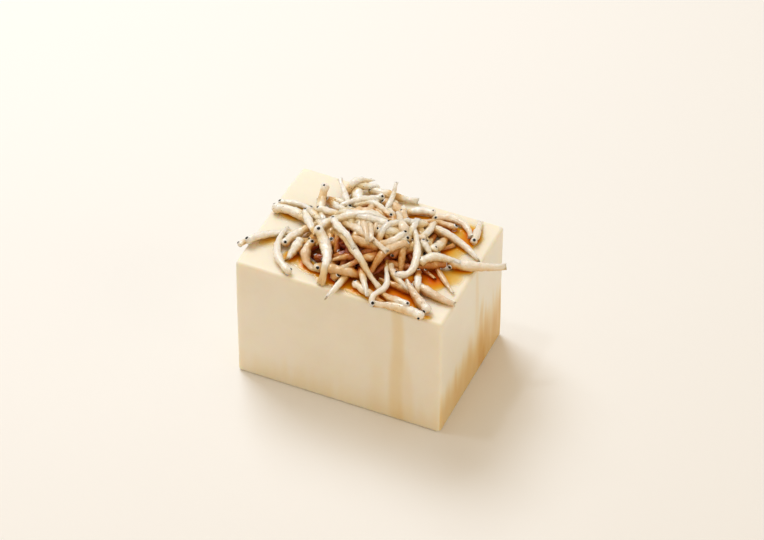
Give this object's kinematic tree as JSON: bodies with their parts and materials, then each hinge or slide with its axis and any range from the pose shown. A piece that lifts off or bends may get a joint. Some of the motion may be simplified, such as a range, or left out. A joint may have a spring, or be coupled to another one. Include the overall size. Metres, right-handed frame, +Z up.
{
  "type": "silken tofu block topped with boiled whitebait",
  "caption": "Upright block of silken tofu with a loose heap of small boiled whitebait on top; rests on its flat underside.",
  "frame": {"origin": "middle of the block's flat underside", "axes": "+X along the block's longer side, +Y from the front face to the back face, +Z up"},
  "size_m": [0.0853, 0.0575, 0.0626],
  "materials": {
    "tofu": "smooth, wet, slightly see-through curd in warm cream white",
    "whitebait": "moist milky fish bodies, tan where the thin soy sauce has soaked in"
  },
  "bodies": {
    "root": {"tofu": "tofu", "whitebait": "whitebait"}
  },
  "joints": []
}
